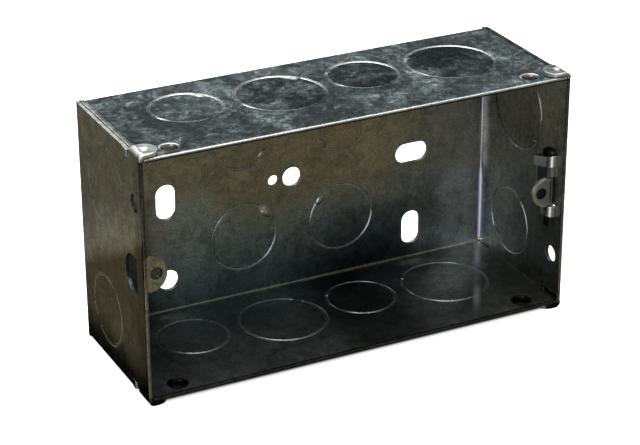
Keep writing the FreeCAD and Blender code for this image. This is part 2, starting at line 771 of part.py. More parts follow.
# plate behind the loops: a broad upper wing and a narrow lower one
o = Outline(lug, "lug_plate_plan", "YZ_Plane", AX0)
o.loop(
    [
        (BEND_Y, AZ + AF + RELIEF),
        (BEND_Y, AZ - AF - RELIEF),
        (WING0, AZ - AF - RELIEF),
        (WING0, d("wing_end")),
        (WING1, d("wing_end")),
        (WING1, AZ - AF),
        (REAR, AZ - AF),
        (REAR, d("adj_shoulder") - CORNER_R, CORNER_R, 1),
        (REAR - CORNER_R, d("adj_shoulder")),
        (TONGUE, d("adj_shoulder")),
        (TONGUE, d("adj_top") - CORNER_R, CORNER_R, 1),
        (TONGUE - CORNER_R, d("adj_top")),
        (FRONT + CORNER_R, d("adj_top"), CORNER_R, 1),
        (FRONT, d("adj_top") - CORNER_R),
        (FRONT, AZ + AF + RELIEF),
    ]
)
grow(lug, "lug_plate", o, d("adj_t"))

# fold at the plate's front edge
o = Outline(lug, "lug_fold_section", "XY_Plane", AZ - AF)
o.loop(
    [
        (AX1, BEND_Y),
        (AX0, BEND_Y, AB, -1),
        (BEND_X, AY1),
        (BEND_X, AY0, AB + d("adj_t"), 1),
    ]
)
grow(lug, "lug_fold", o, 2 * AF)

# rounded tab, parallel to the front
o = Outline(lug, "lug_tab_plan", "XZ_Plane", -AY1)
EX, AR = d("adj_end_x"), d("adj_r")
o.loop(
    [
        (BEND_X, AZ - AF),
        (BEND_X, AZ + AF),
        (EX, AZ + AF),
        (EX, AZ + AR, AR, 1),
        (EX, AZ - AR),
        (EX, AZ - AF),
    ]
)
grow(lug, "lug_tab", o, d("adj_t"))

# thread bore
o = Outline(lug, "lug_bore_plan", "XZ_Plane", -(AY0 - 0.5))
o.circle(d("lug_x"), AZ, d("lug_thread_d") / 2)
cut(lug, "lug_bore", o, d("adj_t") + 1.0)

# ------------------------------------------------------------------- output
doc.recompute()
for obj in doc.Objects:
    if "Invalid" in obj.State or "Error" in obj.State:
        raise RuntimeError("%s failed: %s" % (obj.Name, obj.State))
NODES = [box_shell, lug]
for node in NODES:
    shape = node.Shape
    if shape.isNull() or not shape.isValid() or len(shape.Solids) != 1:
        raise RuntimeError(
            "%s: null %s, valid %s, solids %d"
            % (node.Label, shape.isNull(), shape.isValid(), len(shape.Solids))
        )
os.makedirs("parts", exist_ok=True)
for node in NODES:
    node.Shape.exportStep("parts/%s.step" % node.Label)
    b = node.Shape.BoundBox
    print(
        node.Label,
        "volume %.1f mm3" % node.Shape.Volume,
        "faces %d" % len(node.Shape.Faces),
        "x %.3f..%.3f y %.3f..%.3f z %.3f..%.3f"
        % (b.XMin, b.XMax, b.YMin, b.YMax, b.ZMin, b.ZMax),
    )
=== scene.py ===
import math

import bmesh
import bpy
from mathutils import Matrix, Vector


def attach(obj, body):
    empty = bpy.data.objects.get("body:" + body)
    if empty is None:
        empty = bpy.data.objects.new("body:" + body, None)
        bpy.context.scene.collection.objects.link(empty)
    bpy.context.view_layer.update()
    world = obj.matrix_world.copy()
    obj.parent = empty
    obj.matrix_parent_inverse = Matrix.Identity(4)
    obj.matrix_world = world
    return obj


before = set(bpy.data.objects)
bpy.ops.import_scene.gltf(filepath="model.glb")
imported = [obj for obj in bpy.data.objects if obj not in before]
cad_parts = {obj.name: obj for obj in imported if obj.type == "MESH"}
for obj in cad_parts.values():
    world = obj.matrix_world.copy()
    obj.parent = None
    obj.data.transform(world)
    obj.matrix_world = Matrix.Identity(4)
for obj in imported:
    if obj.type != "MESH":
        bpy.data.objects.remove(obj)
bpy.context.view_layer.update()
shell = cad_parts["box_shell"]
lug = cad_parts["adjustable_lug"]
scene = bpy.context.scene
MM = 0.001


# ------------------------------------------------------------------ camera
# The view of the photograph: rows are the camera's right, down and forward directions.
RIGHT = Vector((0.893967, -0.448119, -0.003343))
DOWN = Vector((-0.193164, -0.378597, -0.905180))
FORWARD = Vector((0.404363, 0.809847, -0.425015))
EYE = Vector((-0.253331, -0.526833, 0.259096))
FOCAL_PX, IMAGE_W = 2161.584, 640.0

lens = bpy.data.cameras.new("camera")
lens.sensor_fit = "HORIZONTAL"
lens.sensor_width = 36.0
lens.lens = FOCAL_PX / IMAGE_W * 36.0
lens.clip_start, lens.clip_end = 0.01, 50.0
camera = bpy.data.objects.new("camera", lens)
scene.collection.objects.link(camera)
camera.matrix_world = Matrix(
    (
        (RIGHT.x, -DOWN.x, -FORWARD.x, EYE.x),
        (RIGHT.y, -DOWN.y, -FORWARD.y, EYE.y),
        (RIGHT.z, -DOWN.z, -FORWARD.z, EYE.z),
        (0, 0, 0, 1),
    )
)
scene.camera = camera
scene.view_settings.view_transform = "Standard"
scene.view_settings.look = "None"


# ------------------------------------------------------------ node helpers
class Val:
    """A float socket with arithmetic, each step a node of its own."""

    def __init__(self, graph, socket):
        self.g, self.s = graph, socket

    def __add__(self, o):
        return self.g.math("ADD", self, o)

    __radd__ = __add__

    def __sub__(self, o):
        return self.g.math("SUBTRACT", self, o)

    def __rsub__(self, o):
        return self.g.math("SUBTRACT", o, self)

    def __mul__(self, o):
        return self.g.math("MULTIPLY", self, o)

    __rmul__ = __mul__

    def __truediv__(self, o):
        return self.g.math("DIVIDE", self, o)

    def __abs__(self):
        return self.g.math("ABSOLUTE", self)

    def least(self, o):
        return self.g.math("MINIMUM", self, o)

    def most(self, o):
        return self.g.math("MAXIMUM", self, o)

    def ramp(self, a, b, lo=0.0, hi=1.0):
        """Smooth step from lo at a to hi at b, flat outside."""
        n = self.g.node("ShaderNodeMapRange", interpolation_type="SMOOTHSTEP", clamp=True)
        if a > b:
            a, b, lo, hi = b, a, hi, lo
        for i, v in enumerate((self, a, b, lo, hi)):
            self.g.feed(n.inputs[i], v)
        return Val(self.g, n.outputs[0])

    def lin(self, a, b, lo=0.0, hi=1.0):
        n = self.g.node("ShaderNodeMapRange", interpolation_type="LINEAR", clamp=True)
        if a > b:
            a, b, lo, hi = b, a, hi, lo
        for i, v in enumerate((self, a, b, lo, hi)):
            self.g.feed(n.inputs[i], v)
        return Val(self.g, n.outputs[0])


class Graph:
    def __init__(self, tree):
        self.tree = tree
        tree.nodes.clear()

    def node(self, kind, **settings):
        n = self.tree.nodes.new(kind)
        for key, value in settings.items():
            setattr(n, key, value)
        return n

    def feed(self, socket, value):
        if isinstance(value, Val):
            self.tree.links.new(value.s, socket)
        elif isinstance(value, bpy.types.NodeSocket):
            self.tree.links.new(value, socket)
        else:
            socket.default_value = value

    def math(self, op, *args):
        n = self.node("ShaderNodeMath", operation=op)
        for i, a in enumerate(args):
            self.feed(n.inputs[i], a)
        return Val(self, n.outputs[0])

    def split(self, vector):
        n = self.node("ShaderNodeSeparateXYZ")
        self.feed(n.inputs[0], vector)
        return [Val(self, o) for o in n.outputs]

    def join(self, x, y, z):
        n = self.node("ShaderNodeCombineXYZ")
        for i, v in enumerate((x, y, z)):
            self.feed(n.inputs[i], v)
        return n.outputs[0]

    def noise(self, vector, scale, detail=3.0, rough=0.55, distortion=0.0):
        n = self.node("ShaderNodeTexNoise", noise_dimensions="3D")
        self.feed(n.inputs["Vector"], vector)
        n.inputs["Scale"].default_value = scale
        n.inputs["Detail"].default_value = detail
        n.inputs["Roughness"].default_value = rough
        n.inputs["Distortion"].default_value = distortion
        return Val(self, n.outputs[0])

    def cells(self, vector, scale):
        """One random number for each crystal of the coating."""
        n = self.node("ShaderNodeTexVoronoi", feature="F1", voronoi_dimensions="3D")
        self.feed(n.inputs["Vector"], vector)
        n.inputs["Scale"].default_value = scale
        s = self.node("ShaderNodeSeparateColor")
        self.feed(s.inputs[0], n.outputs["Color"])
        return Val(self, s.outputs[0])

    def mix(self, factor, a, b):
        n = self.node("ShaderNodeMix", data_type="RGBA")
        self.feed(n.inputs[0], factor)
        for socket, value in ((n.inputs[6], a), (n.inputs[7], b)):
            if isinstance(value, tuple):
                socket.default_value = (*value, 1.0)
            else:
                self.feed(socket, value)
        return n.outputs[2]

    def scale(self, colour, factor):
        n = self.node("ShaderNodeVectorMath", operation="SCALE")
        self.feed(n.inputs[0], colour)
        self.feed(n.inputs["Scale"], factor)
        return n.outputs[0]


# ------------------------------------------------------------- materials
# Knockouts of the long plates: centre across, centre along the depth, radius, tone of the disc.
KO_PLATE = (
    (-40.6, -18.8, 10.3, 1.06),
    (-13.0, -21.1, 12.9, 0.64),
    (13.9, -18.8, 10.3, 0.55),
    (41.2, -21.1, 12.9, 0.53),
)
KO_END = ((-21.3, 18.0, 12.9), (-18.6, -20.4, 10.3))
KO_BACK = (16.05, 16.1, 10.3)


def radial(g, a, b, ca, cb):
    da, db = a - ca, b - cb
    return g.math("SQRT", da * da + db * db)


def blob(g, a, b, ca, cb, turn, long, wide):
    """1 in a small turned ellipse, fading to 0 at its edge."""
    c, s = math.cos(math.radians(turn)), math.sin(math.radians(turn))
    da, db = a - ca, b - cb
    u, v = (da * c + db * s) / long, (db * c - da * s) / wide
    return g.math("SQRT", u * u + v * v).ramp(1.0, 0.55)


def sheet_material():
    # the galvanised sheet's finish, with light and shade painted into its colour
    m = bpy.data.materials.new("galvanised_sheet_with_painted_light")
    m.use_nodes = True
    g = Graph(m.node_tree)
    out = g.node("ShaderNodeOutputMaterial")
    bsdf = g.node("ShaderNodeBsdfPrincipled")
    g.feed(out.inputs[0], bsdf.outputs[0])
    bsdf.inputs["Metallic"].default_value = 1.0

    coord = g.node("ShaderNodeTexCoord")
    P = g.scale(coord.outputs["Object"], 1000.0)
    x, y, z = g.split(P)
    geo = g.node("ShaderNodeNewGeometry")
    nx, ny, nz = g.split(geo.outputs["Normal"])

    # which side of which wall
    ax, az = abs(x), abs(z)
    inside = ax.ramp(65.75, 65.45) * az.ramp(35.75, 35.45) * y.ramp(-0.25, -0.55)
    outside = 1.0 - inside
    level = abs(nz).ramp(0.45, 0.75)
    upper, right = z.ramp(-0.5, 0.5), x.ramp(-0.5, 0.5)
    plates = az.ramp(34.0, 34.6) * level
    ends = ax.ramp(64.0, 64.6) * abs(nx).ramp(0.45, 0.75)
    top_out = plates * outside * upper
    left_out = ends * outside * (1.0 - right)
    right_in = ends * inside * right
    bottom_in = plates * inside * (1.0 - upper)
    back_in = inside * y.ramp(-2.0, -1.4) * abs(ny).ramp(0.45, 0.75)

    # zinc: cloudy patches, crystals, rolling lines, wiping strokes, fine speckle
    cloud = g.noise(P, 0.060, 3.0, 0.55, 0.4)
    swirl = g.noise(P, 0.34, 6.0, 0.66, 0.9)
    crystal = g.cells(P, 0.30)
    speck = g.noise(P, 2.1, 2.0, 0.65)
    strokes = None
    for turn, shift in ((24.0, 0.0), (-38.0, 31.0), (71.0, 57.0)):
        c, s = math.cos(math.radians(turn)), math.sin(math.radians(turn))
        u, v = x * c + y * s + shift, y * c - x * s
        n = g.noise(g.join(u * 0.13, v * 1.5, z * 0.5), 1.0, 2.0, 0.55, 0.5).ramp(0.58, 0.80)
        strokes = n if strokes is None else strokes.most(n)
    lines_up = g.noise(g.join(x * 2.2, y * 0.10, z * 0.07), 1.0, 3.0, 0.65)
    lines_end = g.noise(g.join(x * 0.1, y * 2.2, z * 0.07), 1.0, 3.0, 0.65)
    lines = lines_up * (1.0 - ends) + lines_end * ends

    on_top = (
        (cloud - 0.5) * 1.30
        + (swirl - 0.5) * 1.65
        + (crystal - 0.5) * 0.12
        + (speck - 0.5) * 0.70
        + strokes * 0.22
        - 0.08
    )
    on_rest = (
        (cloud - 0.5) * 0.90
        + (swirl - 0.5) * 2.00
        + (speck - 0.5) * 1.90
        + (lines - 0.5) * (0.20 + 0.45 * ends)
    )
    fac_top = g.math("POWER", (on_top + 0.46).lin(0.0, 1.15), 1.7)
    fac = fac_top * top_out + (on_rest + 0.42).lin(0.0, 1.0) * (1.0 - top_out)

    # knockout rings and discs; a ring shows as the two edges of its shear line, painted as highlights, which on top
    # are brighter on the back and right arcs
    def two_edges(q):
        return q.ramp(0.66, 0.40) * q.ramp(0.05, 0.34, 0.45, 1.0)

    ring_top, tone_top, ring_low, arc_front = None, None, None, None
    for ca, cb, r, tone in KO_PLATE:
        d = radial(g, x, y, ca, cb)
        q = abs(d - r)
        k = two_edges(q) * (0.48 + (y - cb) / r * 0.40 + (x - ca) / r * 0.16).most(0.0)
        ring_top = k if ring_top is None else ring_top + k
        k = two_edges(q)
        ring_low = k if ring_low is None else ring_low + k
        k = q.ramp(0.80, 0.55) * ((cb - y) / r).ramp(0.0, 0.75)
        arc_front = k if arc_front is None else arc_front + k
        k = d.ramp(r - 0.5, r + 0.2, tone, 1.0)
        tone_top = k if tone_top is None else tone_top * k
    ring_end = None
    for ca, cb, r in KO_END:
        q = abs(radial(g, y, z, ca, cb) - r)
        ring_end = q if ring_end is None else ring_end.least(q)
    shear_end = ring_end.ramp(0.80, 0.55) * ax.ramp(64.5, 64.7)
    ring_back = abs(radial(g, ax, az, KO_BACK[0], KO_BACK[1]) - KO_BACK[2])
    groove_top = ring_top * z.ramp(34.5, 34.7)
    groove_rest = (
        ring_low * z.ramp(-34.5, -34.7)
        + two_edges(ring_end) * ax.ramp(64.5, 64.7)
        + two_edges(ring_back) * y.ramp(-1.4, -1.2) * z.ramp(4.0, 9.0, 1.35, 0.05)
    ).least(1.4)

    # rounded arrises; a wide soft one on the front rim and the tabs. The arris mask also paints highlights along
    # the edges
    rim_top = y.ramp(-46.10, -46.40) * z.ramp(34.4, 34.7)
    tabs = az.ramp(36.12, 36.25)
    hole_far = radial(g, ax, y, 55.4, -42.1)
    hole_rim = hole_far.ramp(3.10, 2.90) * hole_far.ramp(2.2, 2.3) * az.ramp(34.5, 34.7)
    hole_low = hole_rim * (1.0 - upper)
    round_edge = g.node("ShaderNodeBevel", samples=8)
    g.feed(round_edge.inputs["Radius"], 0.00018 + rim_top * 0.00035 + (tabs + hole_rim) * 0.00030)
    dot = g.node("ShaderNodeVectorMath", operation="DOT_PRODUCT")
    g.feed(dot.inputs[0], round_edge.outputs[0])
    g.feed(dot.inputs[1], geo.outputs["Normal"])
    arris = Val(g, dot.outputs["Value"]).ramp(0.985, 0.86)

    # masks of painted highlights and painted shade: rings, front rim of the top plate, its left seam, tabs, nibs,
    # hole rims, folds, loops, and a painted reflection of the right fold on the bottom plate
    front = y.ramp(-46.3, -46.6)
    slit_right = x.ramp(64.2, 64.5) * z.ramp(-33.6, -34.2) * y.ramp(-37.4, -38.0) * y.ramp(-46.5, -46.0)
    left_edge = x.ramp(-64.6, -64.8) * az.ramp(34.9, 34.5)
    right_edge = x.ramp(64.6, 64.8) * az.ramp(34.9, 34.5)
    thread_left = radial(g, x, z, -60.3, 0.0).ramp(2.05, 1.75) * y.ramp(-42.4, -42.2) * y.ramp(-40.6, -40.8)
    seam = x.ramp(-64.2, -64.4) * z.ramp(35.5, 35.7) * level
    # painted highlight along the top plate's left edge, towards the back
    roll = x.ramp(-63.2, -63.7) * top_out * y.ramp(-39.0, -37.0)
    # painted highlights on two nibs of the top rings
    nib = blob(g, x, y, -33.8, -11.9, -40, 3.2, 1.4).most(blob(g, x, y, -5.6, -11.4, -30, 3.2, 1.4))
    # painted highlights on the top plate's front rim and on the tab faces, dimmer on the right tab
    rim_bright = rim_top * z.ramp(35.36, 35.56)
    tab_face = tabs * upper * (0.38 - right * (0.18 + 0.20 * x.ramp(64.0, 65.0)))
    # painted highlights: thin tan lines along the back fold and the lower right fold
    fold_back = z.ramp(-33.9, -34.3) * y.ramp(-2.0, -1.5) * inside
    fold_low_right = z.ramp(-34.35, -34.6) * x.ramp(64.4, 64.6) * inside
    # painted highlight: a band on the right wall beside its fold to the back panel, narrow low down, wider and
    # fainter higher up
    fold_right = x.ramp(64.0, 64.4) * inside * (
        y.ramp(-2.8, -1.8) * z.ramp(-8.0, -11.0)
        + y.ramp(-4.4, -1.8) * z.ramp(-11.0, -8.0) * z.ramp(24.0, 6.0, 0.18, 0.36)
    )
    glint = x.ramp(64.2, 64.4) * inside * y.ramp(-2.5, -1.6) * z.ramp(-3.0, -14.0) * z.ramp(-34.3, -33.5)
    # painted reflection of that fold highlight, as a light streak on the bottom plate
    fold_reflection = abs(x - y * 0.587 - 64.85).ramp(1.9, 0.2) * bottom_in * (
        y.ramp(-12.0, -18.0, 0.80, 0.18) * y.ramp(-45.0, -34.0) + y.ramp(-26.5, -30.5) * y.ramp(-45.0, -33.0) * 0.38
    )
    # painted highlight on a nib of the back panel
    back_nib = blob(g, x, z, -9.4, -8.7, -40, 2.3, 1.9) * y.ramp(-2.6, -1.6)
    left_skin = x.ramp(-65.45, -65.55)
    # the far arc of a right-wall ring, painted lighter in the tone below
    far_arc = ring_end.ramp(0.80, 0.55) * x.ramp(64.4, 64.6) * x.ramp(65.55, 65.45) * y.ramp(-25.0, -19.0) * z.ramp(0.0, 4.0)
    # painted highlight on the loops' crests, fading on their rear ramps
    loops = inside * x.ramp(60.5, 60.8) * x.ramp(64.4, 64.1) * y.ramp(-30.5, -31.5) * az.ramp(14.0, 13.5)
    bright = (
        groove_top * 0.66
        + groove_rest * 0.24 * (1.0 - left_skin) * (1.0 - far_arc * 0.8)
        # painted highlights along rounded edges, strongest on the top plate away from its right edge, none on its
        # front rim, the top front ring arcs, the bottom hole rims and the slit
        + arris * (1.0 - front) * (1.0 - arc_front) * (1.0 - hole_low) * (1.0 - slit_right)
        * (0.10 + 0.45 * z.ramp(34.0, 35.0) * (1.0 - x.ramp(63.8, 64.2)))
        + rim_bright * 0.58
        + seam * 0.45
        + roll * 0.30
        + tab_face
        # painted highlights on the far rims of the top holes and on the nibs
        + (hole_rim * y.ramp(-42.6, -41.4) * 0.85 + nib * top_out * 0.80) * upper
        + fold_back * lines.ramp(0.35, 0.60, 0.15, 0.45)
        + fold_low_right * 0.22
        + fold_right
        + fold_reflection
        + back_nib * 0.75
        + loops * ny.ramp(0.08, 0.25, 0.75, 0.10)
    ).lin(0.0, 1.0)

    # tone of each wall, mostly painted reflections and painted shade: lighter and darker zones that stand in for
    # what each wall mirrors
    # left wall: painted reflection, dark below a slanting line and light above it, with a painted glow just above
    # the line, darkest at the bottom and darker towards the front
    edge_line = z + y * 0.5 + 11.5
    step_left = edge_line.ramp(-4.0, 3.0)
    glow_left = edge_line.ramp(17.0, 2.0)
    low_left = z.ramp(-35.0, -22.0)
    tone_left = (0.18 + 0.47 * low_left) * (1.0 - step_left) + step_left * (0.98 + 0.50 * glow_left)
    tone_left = tone_left * y.ramp(-46.0, -38.0, 0.72, 1.0)
    # back panel: painted reflections and painted shade, a blotchy lower zone lighter in some places and darker in
    # others, darker at the left end and at the lower right corner
    low_back = (z - x.ramp(-14.0, -34.0) * 9.0 + (cloud - 0.5) * 24.0 + (swirl - 0.5) * 16.0).ramp(-3.0, -14.0)
    tone_back = (
        1.08
        - z.ramp(-18.0, -32.0) * x.ramp(46.0, 36.0) * 0.30
        - x.ramp(-53.0, -61.0) * 0.42
        - low_back * x.ramp(-36.0, -46.0) * 0.16
        - x.ramp(60.0, 63.0) * z.ramp(-6.0, -12.0) * 0.55
        - x.ramp(44.0, 50.0) * z.ramp(-6.0, 0.0) * 0.10
        + low_back * x.ramp(-2.0, -26.0) * x.ramp(-48.0, -40.0) * 0.45
        - low_back * x.ramp(2.0, 22.0) * x.ramp(46.0, 32.0) * z.ramp(-8.0, -18.0) * 0.55
        + low_back * x.ramp(46.0, 55.0) * 0.80
        + low_back * x.ramp(-14.0, -6.0) * x.ramp(14.0, 6.0) * 0.26
        - low_back * x.ramp(-44.0, -50.0) * 0.40
    )
    # painted reflection: a light slanting stripe on the bottom plate, running forward from below the right wall's
    # fold
    stripe = abs(x - y - 63.0).ramp(15.0, 3.0) * x.ramp(22.0, 42.0) * y.ramp(-40.0, -20.0, 0.45, 1.0)
    # bottom plate: painted shade, dark overall, lighter at the back left, darker in a middle band, towards the
    # front and at the right front
    tone_bottom = (
        0.39
        - x.ramp(-42.0, -50.0) * 0.05
        + y.ramp(-20.0, -8.0) * x.ramp(12.0, -6.0) * 0.16
        - x.ramp(-8.0, 4.0) * x.ramp(26.0, 17.0) * 0.20
        + stripe * 0.50
        - y.ramp(-30.0, -42.0) * 0.04
        - x.ramp(48.0, 56.0) * y.ramp(-16.0, -28.0) * 0.12
    )
    # right wall: a painted highlight beside its fold, lighter low towards the back, darker high towards the front
    by_fold = y.ramp(-6.0, -2.2) * z.ramp(-11.0, -8.0) + y.ramp(-4.0, -1.8) * z.ramp(-8.0, -11.0)
    tone_right = (
        0.66
        + by_fold * 0.60 * z.ramp(14.0, 2.0, 0.35, 1.0)
        + z.ramp(-6.0, -14.0) * y.ramp(-26.0, -18.0) * 0.12
        - z.ramp(-18.0, -28.0) * y.ramp(-20.0, -32.0) * 0.02
        - z.ramp(4.0, 12.0) * y.ramp(-36.0, -28.0) * 0.19
    )
    # painted shade on the cut walls of holes, openings and grooves in the end walls
    sheared = abs(nx).ramp(0.6, 0.4) * ax.ramp(64.85, 65.0) * y.ramp(-46.4, -46.1) * az.ramp(34.0, 33.0)
    # painted light: the fixed lug's front face is made lighter
    fixed_lug = x.ramp(-56.0, -56.6) * abs(ny).ramp(0.5, 0.7) * y.ramp(-40.6, -40.9) * az.ramp(7.5, 7.0)
    tone = (
        1.0
        + left_out * (tone_left - 1.0)
        + top_out * (tone_top - 1.0)
        + back_in * (tone_back - 1.0)
        + bottom_in * (tone_bottom - 1.0)
        + right_in * (tone_right - 1.0)
        + fixed_lug * 0.35
        - sheared * 0.70
        # the left wall's shear lines and the far arc on the right wall are painted lighter to cancel their shade;
        # the front arcs of the top rings are painted darker to dim their highlight
        + shear_end * left_skin * (0.12 + 1.20 * abs(nx).ramp(0.9, 0.6))
        - arc_front * (top_out * 0.30 + z.ramp(35.45, 35.55) * (1.0 - level) * 0.80)
        + far_arc * (0.9 * abs(nx).ramp(0.9, 0.6) - 0.10)
        # painted shade: the walls of the bottom holes, the top plate towards its left end and its front, the right
        # tab, the slit behind the bottom right tab, the bottom tabs, the front cut faces (less at the left and
        # right edges), the fixed lug's bore and a line along the right top edge
        - hole_low * 1.20
        - top_out * (x.ramp(-48.0, -56.0) * 0.16 + y.ramp(-34.0, -38.0) * 0.05)
        - tabs * upper * right * 0.42
        - slit_right * 0.90
        - az.ramp(35.9, 36.2) * (1.0 - upper) * 0.40
        - front * (1.0 - rim_bright) * (0.73 + upper * 0.12 - left_edge * z.ramp(2.0, -14.0, 0.15, 0.65) - right_edge * 0.40)
        - thread_left * 0.95
        - x.ramp(64.2, 64.6) * z.ramp(35.5, 35.7) * (1.0 - tabs) * 0.35
    ).most(0.04)
    colour = g.mix(fac, (0.235, 0.262, 0.280), (0.610, 0.655, 0.675))
    colour = g.mix(top_out * 0.6, colour, g.mix(fac, (0.240, 0.310, 0.318), (0.740, 0.880, 0.880)))
    # painted warm reflection tint on the back panel, the right wall away from its fold, the left wall below its
    # line, the fixed lug and the end walls' front edges, varied by the swirl noise
    warm = (swirl.ramp(0.30, 0.70, 0.75, 1.20)) * (
        back_in * (1.0 - low_back * x.ramp(-52.0, -44.0)) * x.ramp(-36.0, -4.0, 0.45, 0.9) * x.ramp(52.0, 40.0, 0.5, 1.0)
        + right_in * (1.0 - by_fold) * z.ramp(-24.0, -8.0, 0.65, 1.0)
        + left_out * (1.0 - step_left) * 0.8
        + fixed_lug * 0.6
        + front * (left_edge + right_edge) * 0.7
    )
    warm = warm.lin(0.0, 1.0)
    colour = g.mix(warm, colour, g.mix(fac, (0.250, 0.255, 0.205), (0.650, 0.640, 0.500)))
    # painted cool reflection tint on the lower middle of the back panel
    cool = back_in * low_back * x.ramp(-44.0, -34.0) * x.ramp(50.0, 36.0, 0.1, 1.0)
    colour = g.mix(cool * 0.7, colour, g.mix(fac, (0.200, 0.272, 0.282), (0.520, 0.670, 0.690)))
    colour = g.mix(bottom_in * x.ramp(60.0, 30.0, 0.9, 0.5), colour, g.mix(fac, (0.250, 0.268, 0.225), (0.640, 0.665, 0.560)))
    colour = g.scale(colour, tone)
    # painted highlight colours: near-white, whiter on the right fold band and its reflection on the bottom plate,
    # tan on the back and lower right folds
    painted_highlight_colour = g.mix((fold_right + fold_reflection).least(1.0), (0.86, 0.86, 0.80), (0.97, 0.96, 1.00))
    painted_highlight_colour = g.mix(fold_back.most(fold_low_right), painted_highlight_colour, (0.86, 0.76, 0.52))
    colour = g.mix(bright, colour, painted_highlight_colour)
    colour = g.mix(glint, colour, (0.235, 0.237, 0.255))
    g.feed(bsdf.inputs["Base Color"], colour)
    # the specular tint follows the painted tone and painted highlights
    specular_tint_from_tone = tone.most(bright).least(1.0)
    g.feed(bsdf.inputs["Specular Tint"], g.join(specular_tint_from_tone, specular_tint_from_tone, specular_tint_from_tone))

    fold = right_in * y.ramp(-9.0, -6.0)
    rough = (
        0.30
        + fac * 0.10
        + top_out * ((fac - 0.15) * 0.30 + 0.020)
        + (speck - 0.5) * 0.08
        + bottom_in * 0.16
        + bright * upper * outside * 0.18
        + tabs * 0.08
        - groove_rest * inside * 0.05
        - fold * 0.16
        - loops * 0.12
    )
    g.feed(bsdf.inputs["Roughness"], rough.lin(0.0, 1.0))

    # relief: the coating's fine waves, and the bow of the right wall beside its fold
    reach = 2.2 + z.ramp(-12.0, -8.0) * 2.4
    t = ((y + 1.2 + reach) / reach).most(0.0)
    bow = t * t * reach * right_in * 0.000115
    height = (
        (swirl - 0.5) * 0.000012
        + (lines - 0.5) * 0.000002
        + (speck - 0.5) * 0.000006
        + bow
    )
    bump = g.node("ShaderNodeBump")
    bump.inputs["Strength"].default_value = 1.0
    bump.inputs["Distance"].default_value = 1.0
    g.feed(bump.inputs["Height"], height)
    g.feed(bump.inputs["Normal"], round_edge.outputs[0])
    # some shear lines are nearly closed: the left wall's, the front arcs on top, the upper ones of the back;
    # low beside its fold the right wall is rolled round towards the front
    shut_left = shear_end * left_skin
    shut_top = arc_front * z.ramp(35.45, 35.55)
    shut_back = ring_back.ramp(0.80, 0.55) * y.ramp(-1.8, -1.4) * z.ramp(4.0, 9.0) * inside
    shut = g.node("ShaderNodeMix", data_type="VECTOR")
    g.feed(shut.inputs[0], (shut_left * 0.92 + shut_top * 0.85 + shut_back * 0.75 + far_arc * 0.85 + glint * 0.90).least(0.95))
    g.feed(shut.inputs[4], bump.outputs[0])
    g.feed(shut.inputs[5], g.join((shut_left + far_arc + glint * 0.613) * -1.0, (shut_back + glint * 0.745) * -1.0, shut_top + glint * 0.264))
    unit = g.node("ShaderNodeVectorMath", operation="NORMALIZE")
    g.feed(unit.inputs[0], shut.outputs[1])
    g.feed(bsdf.inputs["Normal"], unit.outputs[0])
    return m


